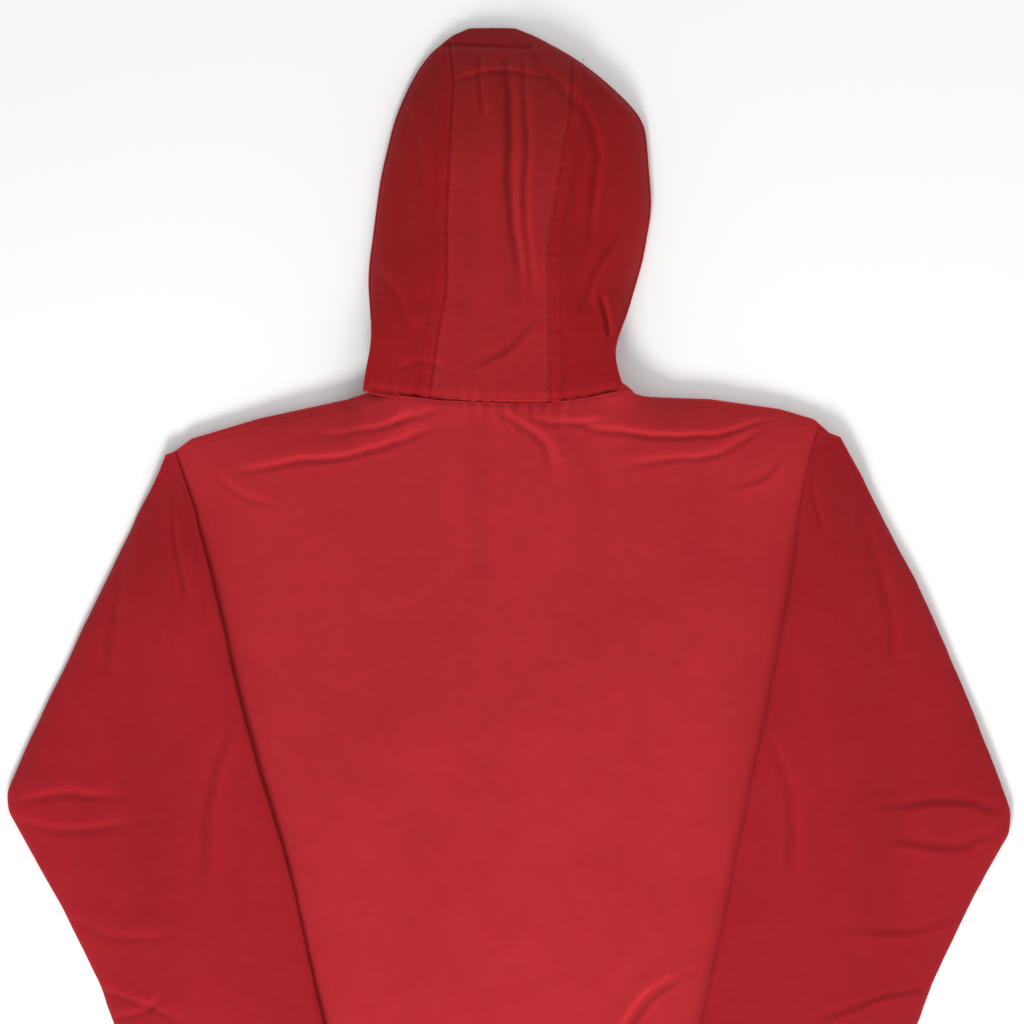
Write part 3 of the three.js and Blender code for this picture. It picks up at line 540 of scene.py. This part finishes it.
def around_body(a, y):
    """The x of points on the body's outside, and which lie on the back.
    a runs from the zip (0), round the wearer's left, over the back, to the zip (1)."""
    turn = 0.2
    left = a < turn
    right = a > 1 - turn
    back = ~(left | right)
    x = np.zeros(a.shape)
    x[left] = -mix(10, HALF, np.sin(a[left] / turn * np.pi / 2))
    x[right] = mix(10, HALF, np.sin((1 - a[right]) / turn * np.pi / 2))
    x[back] = HALF * np.sin((a[back] - 0.5) / (0.5 - turn) * np.pi / 2)
    return x, back


def body_grid(low_y, high, around, rows, power=1.4):
    a = np.repeat(np.linspace(0, 1, around)[:, None], rows, 1)
    v = np.repeat(np.linspace(0, 1, rows)[None], around, 0)
    x, back = around_body(a, v)
    top = np.where(back, high(x, True), high(x, False))
    y = mix(low_y, top, 1 - (1 - v) ** power)
    side = 1 - (np.abs(x) / HALF) ** 8
    z = np.where(back, back_z(x, y) + back_wrinkles(x, y) * side, front_z(x, y) + 0.35 * FINE(x, y) * side)
    bulge = 1.4 * MIDDLE(y, x * 0 + 5) + 1.0 * BROAD(y * 1.4, x * 0)
    x = x + np.sign(x) * smooth((np.abs(x) - HALF + 12) / 12) * bulge
    return np.stack([x, y, z], 2)


def make_body():
    rows, around = ((250, 380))
    grid = body_grid(BAND_TOP - 1, lambda x, back: shoulder_y(x) if back else front_neck_y(x), around, rows)
    shell_piece = shell("body_shell", grid, BODY_WALL, SHELL, LINING, "body")
    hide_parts("back_panel", "front_panel_left", "front_panel_right")
    band = body_grid(HEM_Y, lambda x, back: np.full(x.shape, BAND_TOP - 0.4), around // 2, 16, 1.0)
    rolled = np.sin(np.linspace(0, 1, 16) * np.pi)[None] ** 0.5
    band[:, :, 2] += np.where(band[:, :, 2] > EDGE_Z, 1, -0.25) * 1.2 * rolled
    band_piece = shell("hem_band_shell", band, BAND_WALL, SHELL, LINING, "body")
    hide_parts("hem_band")
    for i, up in enumerate((8, 30)):
        x = np.linspace(-288, 288, 360)
        y = np.full(x.shape, HEM_Y + up)
        z = back_z(x, y) + back_wrinkles(x, y) + 1.35
        stitches(f"hem_stitches_{i + 1}", np.stack([x, y, z], 1), 1, THREAD, "body")
    for side, sign in SIDES.items():
        x = sign * np.linspace(112, 288, 140)
        for row, drop in enumerate((3.5, 8.5)):
            y = shoulder_y(x) - drop
            z = back_z(x, y) + back_wrinkles(x, y) * (1 - (np.abs(x) / HALF) ** 8) + 0.25
            name = f"shoulder_stitches_{side}_{row + 1}"
            stitches(name, np.stack([x, y, z], 1), 1, THREAD, "body")


def make_linings():
    half = HALF - LINING_INSET
    u, v = np.meshgrid(np.linspace(-1, 1, 90), np.linspace(0, 1, 110), indexing="ij")
    x = half * np.sin(u * np.pi / 2)
    y = mix(BAND_TOP + 4, shoulder_y(x) - 12, v)
    z = back_z(x, y) - LINING_DROP + 0.7 * MIDDLE(x, y) + 0.5 * BROAD(x, y)
    piece = shell("back_lining_cloth", np.stack([x, y, z], 2), LINING_WALL, LINING, LINING, "body")
    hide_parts("lining_back")
    for side, sign in SIDES.items():
        u, v = np.meshgrid(np.linspace(0, 1, 60), np.linspace(0, 1, 90), indexing="ij")
        x = sign * mix(26, half, u)
        y = mix(BAND_TOP + 4, front_neck_y(x) - 40, v)
        rise = smooth((np.abs(x) - 26) / 50) * smooth((front_neck_y(x) - y) / 70)
        outer = smooth((np.abs(x) - 247) / 34)
        z = mix(mix(7.9, 14.8, rise), 12.6, outer) + 0.3 * MIDDLE(x, y)
        grid = np.stack([x, y, z], 2)
        piece = shell(f"front_lining_cloth_{side}", grid, sign * LINING_WALL, LINING, LINING, "body")
        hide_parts(f"lining_front_{side}")


def make_collar():
    turn, v = np.meshgrid(np.linspace(-0.97, 0.97, 160) * np.pi, np.linspace(0, 1, 40), indexing="ij")
    sine, cosine = np.sin(turn), np.cos(turn)
    across = np.sign(sine) * np.abs(sine) ** 0.8
    x = -4 * v * (1 + cosine) + mix(COLLAR_HALF, COLLAR_TOP_HALF, smooth(v * 2.5)) * across
    foot_x = COLLAR_HALF * across
    foot = np.where(cosine > 0, shoulder_y(foot_x), front_neck_y(foot_x)) - 1.5
    y = mix(foot, NECK_Y + COLLAR_RISE, v)
    z = 19.8 + 16.2 * np.sign(cosine) * np.abs(cosine) ** 0.6
    swell = 0.9 * MIDDLE(x, y) * (cosine > -0.5) + 0.15 * FINE(x, y)
    piece = shell("collar_cloth", np.stack([x, y, z + swell], 2), COLLAR_WALL, SHELL, LINING, "body")
    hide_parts("collar_stand")


# ---- Sleeves ----


def cover_z(x, y):
    """The level that a sleeve rests on: the back with its clearance, falling to the floor beside the body."""
    beyond = np.abs(x) - HALF
    beside = (EDGE_Z + SLEEVE_CLEAR) * (1 - smooth(beyond / 34))
    return np.where(beyond <= 0, back_z(x, y) + SLEEVE_CLEAR, beside)


def draped_z(x, y):
    """The level that a sleeve's upper face follows: what lies under it, spanned softly."""
    spread = np.linspace(-60, 60, 13)
    weights = np.exp(-((spread / 34) ** 2))
    return sum(w * cover_z(x + d, y) for w, d in zip(weights, spread)) / weights.sum()


def sleeve_grid(side, around, rows):
    outer, inner = (np.asarray(edge, float) for edge in SLEEVES[side])
    middle = (outer + inner) / 2
    run = np.concatenate([[0], np.cumsum(np.linalg.norm(np.diff(middle, axis=0), axis=1))])
    t = np.linspace(0, 1, rows)
    place = t * run[-1]
    kernel = np.exp(-np.linspace(-2, 2, 9) ** 2)
    kernel /= kernel.sum()

    def edge_at(edge):
        lines = [np.interp(place, run, edge[:, k]) for k in (0, 1)]
        padded = [np.pad(line, 4, "reflect", reflect_type="odd") for line in lines]
        return np.stack([np.convolve(line, kernel, "valid") for line in padded], 1)

    outer_line, inner_line = edge_at(outer), edge_at(inner)
    sign = SIDES[side]
    angle = np.linspace(0, 2 * np.pi, around, endpoint=False)[:, None] * sign + 0 * t[None]
    sine, cosine = np.sin(angle), np.cos(angle)
    across = np.sign(cosine) * np.abs(cosine) ** OVAL_ACROSS
    up = np.sign(sine) * np.abs(sine) ** OVAL_UP
    share = (across + 1) / 2
    x = mix(inner_line[None, :, 0], outer_line[None, :, 0], share)
    y = mix(inner_line[None, :, 1], outer_line[None, :, 1], share)
    lens = np.sqrt(np.clip(1 - across**2, 0, 1))
    head = mix(0.07, 1, smooth(t[None] * 3.4) ** 0.8)
    height = SLEEVE_LOFT * head * mix(SLEEVE_FLAT_EDGE, 1, lens)
    ground = np.maximum(cover_z(x, y), np.maximum(cover_z(x - 6, y), cover_z(x + 6, y)))
    top = smooth((up + 0.3) / 0.8)
    ground = mix(ground, np.maximum(draped_z(x, y), ground - 0.8 * height), top * smooth(lens * 1.6))
    folds = sleeve_wrinkles(side, x, y) * top * smooth(t[None] * 6)
    z = ground + height * (1 + up) / 2 + np.maximum(folds, -0.5 * height)
    edge = np.abs(across) ** 6
    x = x + sign * edge * np.sign(across) * (1.2 * MIDDLE(y, y * 0 + 40 * sign))
    return np.stack([x, y, z], 2)


SLEEVE_CREASES = {
    "left": [
        ([(-440, -122), (-400, -112), (-350, -116)], 2.2, 12),
        ([(-440, -140), (-395, -150), (-340, -140)], 2.0, 12),
        ([(-300, 150), (-296, 110), (-284, 60)], 1.5, 8),
        ([(-330, 120), (-345, 60), (-352, -10)], 1.6, 16),
        ([(-392, -228), (-350, -246), (-300, -240)], 1.5, 12),
        ([(-372, -290), (-330, -300), (-290, -318)], 1.8, 9),
        ([(-358, -318), (-330, -312), (-310, -296)], 1.4, 7),
        ([(-240, -60), (-262, -120), (-262, -190)], 1.4, 14),
    ],
    "right": [
        ([(440, -142), (398, -130), (350, -136)], 2.2, 12),
        ([(438, -160), (398, -176), (340, -166)], 2.0, 12),
        ([(276, 190), (272, 158), (282, 120)], 1.8, 7),
        ([(318, 140), (342, 70), (350, 0)], 1.6, 16),
        ([(402, -238), (352, -252), (300, -246)], 1.5, 12),
        ([(372, -300), (330, -306), (280, -322)], 1.8, 9),
        ([(232, -60), (258, -120), (254, -190)], 1.4, 14),
    ],
}


def sleeve_wrinkles(side, x, y):
    value = 2.6 * BROAD(x + 300, y) + 0.7 * MIDDLE(x, y - 90) + 0.14 * FINE(x, y)
    for points, height, width in SLEEVE_CREASES[side]:
        value = value + crease(points, height, width, x, y)
    near_cuff = smooth((y + 330) / -70)
    return value + near_cuff * 1.6 * np.sin(x * 0.24 + 2.2 * WARP(x, y))


def make_sleeve(side, sign):
    rows, around = ((260, 150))
    grid = sleeve_grid(side, around, rows)
    wall = mix(0.05, 1.4, smooth(np.linspace(0, 1, rows) * 5 - 0.2))
    piece = shell(f"sleeve_{side}", grid, wall, SLEEVE_SHADED, LINING, None, wraps=True, own=rows // 5)
    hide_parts(f"sleeve_upper_{side}", f"sleeve_lower_{side}")
    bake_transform(piece)
    make_cuff(side, sign)


def make_cuff(side, sign):
    (ox, _), (ix, _) = SLEEVES[side][0][-1], SLEEVES[side][1][-1]
    around = 220
    turn = np.linspace(0, 2 * np.pi, around, endpoint=False) * sign
    angle, v = np.meshgrid(turn, np.linspace(0, 1, 22), indexing="ij")
    sine, cosine = np.sin(angle), np.cos(angle)
    across = np.sign(cosine) * np.abs(cosine) ** OVAL_ACROSS
    up = np.sign(sine) * np.abs(sine) ** OVAL_UP
    taper = 7 * v * sign
    x = mix(ix - 0.4 * taper + sign * 0.6, ox - taper, (across + 1) / 2)
    y = CUFF_TOP - CUFF_LENGTH * v
    height = CUFF_LOFT * mix(SLEEVE_FLAT_EDGE, 1, np.sqrt(np.clip(1 - across**2, 0, 1)))
    ribs = 0.55 * np.sin(angle * CUFF_RIBS) * np.sin(np.pi * np.clip(v * 1.25 - 0.1, 0, 1)) ** 0.5
    ridge = 0.5 * np.exp(-(((v - 0.12) / 0.04) ** 2)) + 0.7 * np.exp(-(((v - 0.93) / 0.06) ** 2))
    z = cover_z(x, y) + height * (1 + up) / 2 + (ribs + ridge) * np.sign(up)
    grid = np.stack([x, y, z], 2)
    piece = shell(f"cuff_band_{side}", grid, CUFF_WALL, SLEEVE_SHADED, LINING, f"forearm_{side}", wraps=True)
    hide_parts(f"cuff_{side}")


# ---- Hood ----

HOOD_FOLDS = [
    ([(-22, 540), (-23, 510), (-20, 486)], 1.6, 6),
    ([(2, 536), (6, 480), (2, 420), (14, 345)], 3.4, 11),
    ([(16, 540), (19, 470), (16, 400), (24, 330)], 2.2, 9),
    ([(18, 550), (48, 518), (81, 486), (84, 430), (74, 368)], 4.2, 15),
    ([(84, 326), (88, 306), (91, 288)], 3.6, 6),
    ([(-118, 352), (-96, 330), (-84, 296)], 1.8, 12),
    ([(104, 380), (84, 352), (72, 318)], 2.2, 12),
    ([(-100, 262), (-78, 272), (-58, 262)], 1.0, 8),
    ([(-92, 500), (-74, 470), (-72, 420)], 1.6, 14),
    ([(116, 486), (96, 500), (70, 530)], 2.4, 10),
    ([(30, 300), (4, 272), (-30, 256)], 1.6, 10),
    ([(-46, 520), (-10, 530), (34, 522)], 2.0, 8),
]
HOOD_HOLLOWS = [
    ([(-62, 551), (-20, 549), (18, 547)], 2.4, 3.2),
    ([(-8, 530), (-2, 470), (-6, 400), (4, 330)], 2.8, 11),
    ([(74, 505), (92, 460), (80, 380)], 3.4, 13),
    ([(-38, 480), (-34, 400), (-44, 320)], 1.4, 12),
    ([(-96, 440), (-98, 380), (-88, 320)], 1.8, 14),
    ([(62, 470), (56, 400), (62, 320)], 1.8, 10),
]


def hood_wrinkles(x, y):
    value = 1.8 * BROAD(x, y + 200) + 0.7 * MIDDLE(x + 50, y) + 0.18 * FINE(x, y)
    for points, height, width in HOOD_FOLDS:
        value = value + crease(points, height, width, x, y)
    for points, depth, width in HOOD_HOLLOWS:
        value = value + groove(points, depth, width, x, y)
    for seam, lean in ((SEAM_LEFT, 1), (SEAM_RIGHT, -1)):
        line = [(sx, sy) for sy, sx in seam]
        d, _, _ = line_distance(line, x, y)
        offset = (x - at(seam, y)) * lean
        strip = smooth((offset + 11) / 2.5) * smooth((1.5 - offset) / 2.5)
        uneven = 0.6 + 0.8 * MIDDLE(x + 9, y * 1.7)
        pucker = np.cos(y * 2 * np.pi / 10 + 7 * WARP(x * 0.7, y * 2.2)) * uneven
        value = value + strip * (0.5 + 0.16 * pucker) - 1.0 * np.exp(-((d / 1.3) ** 2))
        value = value + 0.12 * pucker * np.exp(-((offset / 9) ** 2)) * (1 - strip)
    foot = y - shoulder_y(x)
    gathers = np.cos(x * 0.45 + 5 * WARP(x * 1.5, y)) * np.exp(-foot / 14)
    return value + 0.35 * gathers * (1 + MIDDLE(x, y)) - 3.4 * np.exp(-((foot / 4.5) ** 2))


def make_hood():
    around, rows = ((230, 260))
    u, v = np.meshgrid(np.linspace(-1, 1, around), np.linspace(0, 1, rows), indexing="ij")
    over = np.clip(u / HOOD_FOLD_AT, -1, 1)
    guess = mix(*HOOD_FOOT, (over + 1) / 2)
    y = mix(shoulder_y(guess) + 0.6, HOOD_TOP, 1 - (1 - v) ** 1.25)
    left, right = at(HOOD_LEFT, y), at(HOOD_RIGHT, y)
    across = np.sin(over * np.pi / 2)
    x = mix(left, right, (across + 1) / 2)
    ridge, rim = at(HOOD_RIDGE, y), at(HOOD_RIM_Z, y)
    lens = np.clip(1 - across**2, 0, 1)
    z = rim + (ridge - rim) * lens**0.7 + hood_wrinkles(x, y) * smooth(lens * 7)
    fold = np.clip((np.abs(u) - HOOD_FOLD_AT) / 0.08, 0, 1) * np.pi
    tuck = np.clip((np.abs(u) - 0.86) / 0.14, 0, 1)
    flange = mix(3, 36, smooth((y - 320) / 34)) * tuck * np.clip((HOOD_TOP - y) / 40, 0.15, 1)
    drop = np.minimum(3, (rim - 3.9) / 2)
    x = x + np.sign(u) * (drop * np.sin(fold) * 0.8 - flange)
    z = z - np.where(np.abs(u) > HOOD_FOLD_AT, drop * (1 - np.cos(fold)), 0)
    piece = shell("hood_cloth_shell", np.stack([x, y, z], 2), HOOD_WALL, HOOD_SHADED, LINING)
    # Painted shade: the faces outside the two seams take the darker side cloth.
    piece.data.materials.append(HOOD_SIDE_SHADED)
    beside = (x < at(SEAM_LEFT, y)) | (x > at(SEAM_RIGHT, y))
    cells = beside[:-1, :-1].ravel()
    slots = np.zeros(len(piece.data.polygons), int)
    piece.data.polygons.foreach_get("material_index", slots)
    slots[: len(cells)] = np.where(cells, 2, 0)
    piece.data.polygons.foreach_set("material_index", slots)
    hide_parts("hood_centre_panel", "hood_side_left", "hood_side_right")
    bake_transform(piece)
    for side, seam, lean in (("left", SEAM_LEFT, 1), ("right", SEAM_RIGHT, -1)):
        for row, offset in enumerate((-10.5, -2.2)):
            sy = np.linspace(286, 540, 240)
            sx = at(seam, sy) + offset * lean
            left, right = at(HOOD_LEFT, sy), at(HOOD_RIGHT, sy)
            mid, half = (left + right) / 2, (right - left) / 2
            lens = np.clip(1 - ((sx - mid) / half) ** 2, 0, 1)
            rim, ridge = at(HOOD_RIM_Z, sy), at(HOOD_RIDGE, sy)
            sz = rim + (ridge - rim) * lens**0.7 + hood_wrinkles(sx, sy) * smooth(lens * 7) + 0.3
            name = f"hood_stitches_{side}_{row + 1}"
            stitches(name, np.stack([sx, sy, sz], 1), 1, THREAD, "hood")


# ---- Trim: bevelled copies of the frame's flat cloth pieces, and materials on its hard pieces ----


def soft_copy(node, name, material, body, width=0.5):
    """A copy of a frame node in cloth, with its edges bevelled by width millimetres."""
    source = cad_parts[node]
    mesh = source.data.copy()
    mesh.materials.clear()
    mesh.materials.append(material)
    piece = bpy.data.objects.new(name, mesh)
    bpy.context.scene.collection.objects.link(piece)
    bevel = piece.modifiers.new("edge", "BEVEL")
    bevel.width, bevel.segments = width * MM, 2
    bevel.limit_method, bevel.angle_limit = "ANGLE", math.radians(40)
    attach(piece, body)
    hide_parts(node)
    return piece


def make_trim():
    storm_flap = soft_copy("storm_flap", "storm_flap_cloth", SHELL, "storm_flap")
    soft_copy("storm_flap_base", "storm_flap_seam", SHELL, "body")
    soft_copy("hanger_loop", "hanger_loop_tape", TAPE, "body", 0.3)
    soft_copy("hood_rim_casing", "hood_rim_cloth", HOOD_SHADED, "hood", 0.9)
    for side in SIDES:
        flap_body = f"pocket_flap_{side}"
        flap = soft_copy(f"pocket_flap_{side}", f"pocket_flap_cloth_{side}", SHELL, flap_body)
        soft_copy(f"pocket_flap_base_{side}", f"pocket_flap_seam_{side}", SHELL, "body")
        soft_copy(f"pocket_bag_{side}", f"pocket_bag_cloth_{side}", LINING, "body", 0.3)
        soft_copy(f"zip_tape_{side}", f"zip_tape_cloth_{side}", TAPE, "body", 0.2)
        soft_copy(f"cuff_tab_{side}", f"cuff_tab_cloth_{side}", SLEEVE_SHADED, f"cuff_tab_{side}")
        soft_copy(f"cuff_hook_{side}", f"cuff_hook_pad_{side}", PATCH, f"cuff_tab_{side}", 0.2)
        soft_copy(f"cuff_loop_{side}", f"cuff_loop_pad_{side}", PATCH, f"forearm_{side}", 0.2)
    make_zip_teeth()
    metal = ("zip_slider", "zip_puller", "zip_stop", "eyelet", "snap")
    for name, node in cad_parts.items():
        if node.type != "MESH":
            continue
        material = METAL if any(word in name for word in metal) else TEETH if name == "zip_box" else None
        if material:
            node.data.materials.clear()
            node.data.materials.append(material)


def make_zip_teeth():
    """Moulded teeth, one side staggered by half a pitch, on a bead along each tape's edge."""
    low, high = HEM_Y + 15, NECK_Y + 65
    for side, sign in SIDES.items():
        points, faces = [], []

        def block(x0, x1, y0, y1, z0, z1, taper):
            base = len(points)
            for x, t in ((x0, taper), (x1, 0)):
                for dy, dz in ((0, 0), (1, 0), (1, 1), (0, 1)):
                    points.append((sign * x, mix(y0 + t, y1 - t, dy), mix(z0 + t, z1 - t, dz)))
            quads = [(0, 1, 2, 3), (7, 6, 5, 4), (0, 4, 5, 1), (1, 5, 6, 2), (2, 6, 7, 3), (3, 7, 4, 0)]
            faces.extend([tuple(base + i for i in (q if sign < 0 else q[::-1])) for q in quads])

        block(2.2, 3.1, low, high, 6.2, 7.8, 0)
        for y in np.arange(low + (0.5 * TEETH_PITCH if sign > 0 else 0), high - 2, TEETH_PITCH):
            block(0.45, 2.6, y, y + 1.5, 5.6, 8.4, 0.3)
        piece = mesh_piece(f"zip_teeth_row_{side}", points, faces, [TEETH], "body")
        for polygon in piece.data.polygons:
            polygon.use_smooth = False
        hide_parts(f"zip_teeth_{side}")


studio()
make_body()
make_linings()
make_collar()
for side_name, side_sign in SIDES.items():
    make_sleeve(side_name, side_sign)
make_hood()
make_trim()
